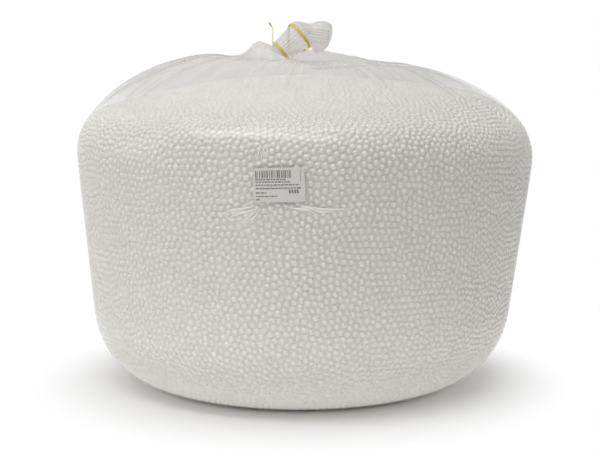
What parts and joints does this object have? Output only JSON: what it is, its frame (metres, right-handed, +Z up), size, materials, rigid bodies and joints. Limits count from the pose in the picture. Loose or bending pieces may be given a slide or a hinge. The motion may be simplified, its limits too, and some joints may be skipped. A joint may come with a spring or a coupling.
{
  "type": "bag of polystyrene beads",
  "caption": "Clear film sack packed full of white foam beads, with its neck gathered in pleats and closed by a yellow wire tie, and a small sticker on its front.",
  "frame": {"origin": "middle of the flat foot that the bag stands on", "axes": "+Z up, +X to the right as the label is seen, -Y towards the front with the label"},
  "size_m": [0.4094, 0.4062, 0.3262],
  "materials": {
    "film": "clear thin film",
    "beads": "white expanded foam",
    "tie": "yellow coating over wire",
    "label": "white sticker"
  },
  "bodies": {
    "root": {"film_bag": "film", "bead_fill": "beads", "neck_tie": "tie", "label": "label"}
  },
  "joints": []
}
